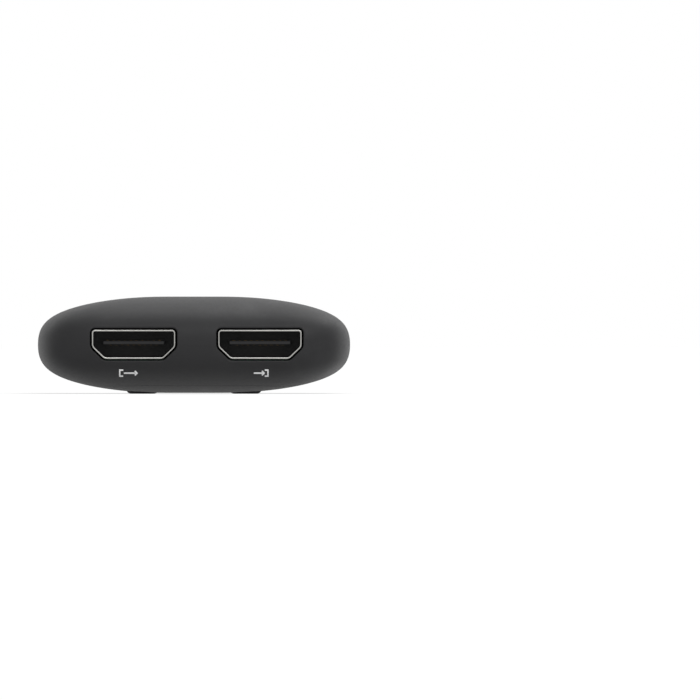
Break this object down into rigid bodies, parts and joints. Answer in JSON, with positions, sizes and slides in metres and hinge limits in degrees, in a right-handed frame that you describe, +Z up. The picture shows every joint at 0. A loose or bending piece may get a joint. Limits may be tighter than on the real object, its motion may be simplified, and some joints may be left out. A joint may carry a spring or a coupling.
{
  "type": "video capture box",
  "caption": "Pebble-shaped matt black capture box: video in and out sockets at the front, computer socket and audio jack at the rear, board inside.",
  "frame": {"origin": "centre of the box's outline, at the level of the feet's lower faces", "axes": "+Z up, front end with the two video sockets towards -Y, rear end towards +Y, +X to the right of someone who looks at the front"},
  "size_m": [0.0546, 0.096, 0.017],
  "materials": {
    "casing_plastic": "fine-textured matt black moulded casing",
    "foot_rubber": "matt black rubber",
    "tape": "double-sided adhesive film",
    "screw_steel": "zinc-plated steel",
    "socket_metal": "nickel-plated sheet metal",
    "black_moulding": "black glass-filled moulding",
    "blue_moulding": "blue moulding",
    "contact_metal": "gold-plated copper alloy",
    "board_laminate": "green solder resist on glass laminate",
    "chip_resin": "black moulded resin",
    "heat_sink_metal": "plain extruded aluminium",
    "gap_pad": "soft filled silicone",
    "crystal_can": "drawn metal can",
    "ferrite": "pressed ferrite",
    "capacitor_resin": "yellow moulded resin",
    "capacitor_ceramic": "tan ceramic with plated ends",
    "resistor_body": "black glaze on white ceramic"
  },
  "bodies": {
    "root": {"top_cover": "casing_plastic", "bottom_cover": "casing_plastic", "foot_front_left": "foot_rubber", "foot_front_right": "foot_rubber", "foot_rear_left": "foot_rubber", "foot_rear_right": "foot_rubber", "foot_tapes": "tape", "case_screws": "screw_steel", "board_screws": "screw_steel", "video_out_shell": "socket_metal", "video_in_shell": "socket_metal", "computer_port_shell": "socket_metal", "video_out_insulator": "black_moulding", "video_in_insulator": "black_moulding", "computer_port_insulator": "black_moulding", "line_jack_body": "black_moulding", "computer_port_tongue": "blue_moulding", "video_out_contacts": "contact_metal", "video_in_contacts": "contact_metal", "computer_port_contacts": "contact_metal", "line_jack_sleeve_contact": "contact_metal", "line_jack_ring_contact": "contact_metal", "line_jack_tip_contact": "contact_metal", "main_board": "board_laminate", "processor_chip": "chip_resin", "video_receiver_chip": "chip_resin", "video_driver_chip": "chip_resin", "memory_chip": "chip_resin", "data_bridge_chip": "chip_resin", "flash_chip": "chip_resin", "audio_codec_chip": "chip_resin", "regulators": "chip_resin", "surge_protectors": "chip_resin", "heat_sink": "heat_sink_metal", "thermal_pad": "gap_pad", "crystals": "crystal_can", "power_inductors": "ferrite", "large_capacitors": "capacitor_resin", "small_capacitors": "capacitor_ceramic", "resistors": "resistor_body"}
  },
  "joints": []
}
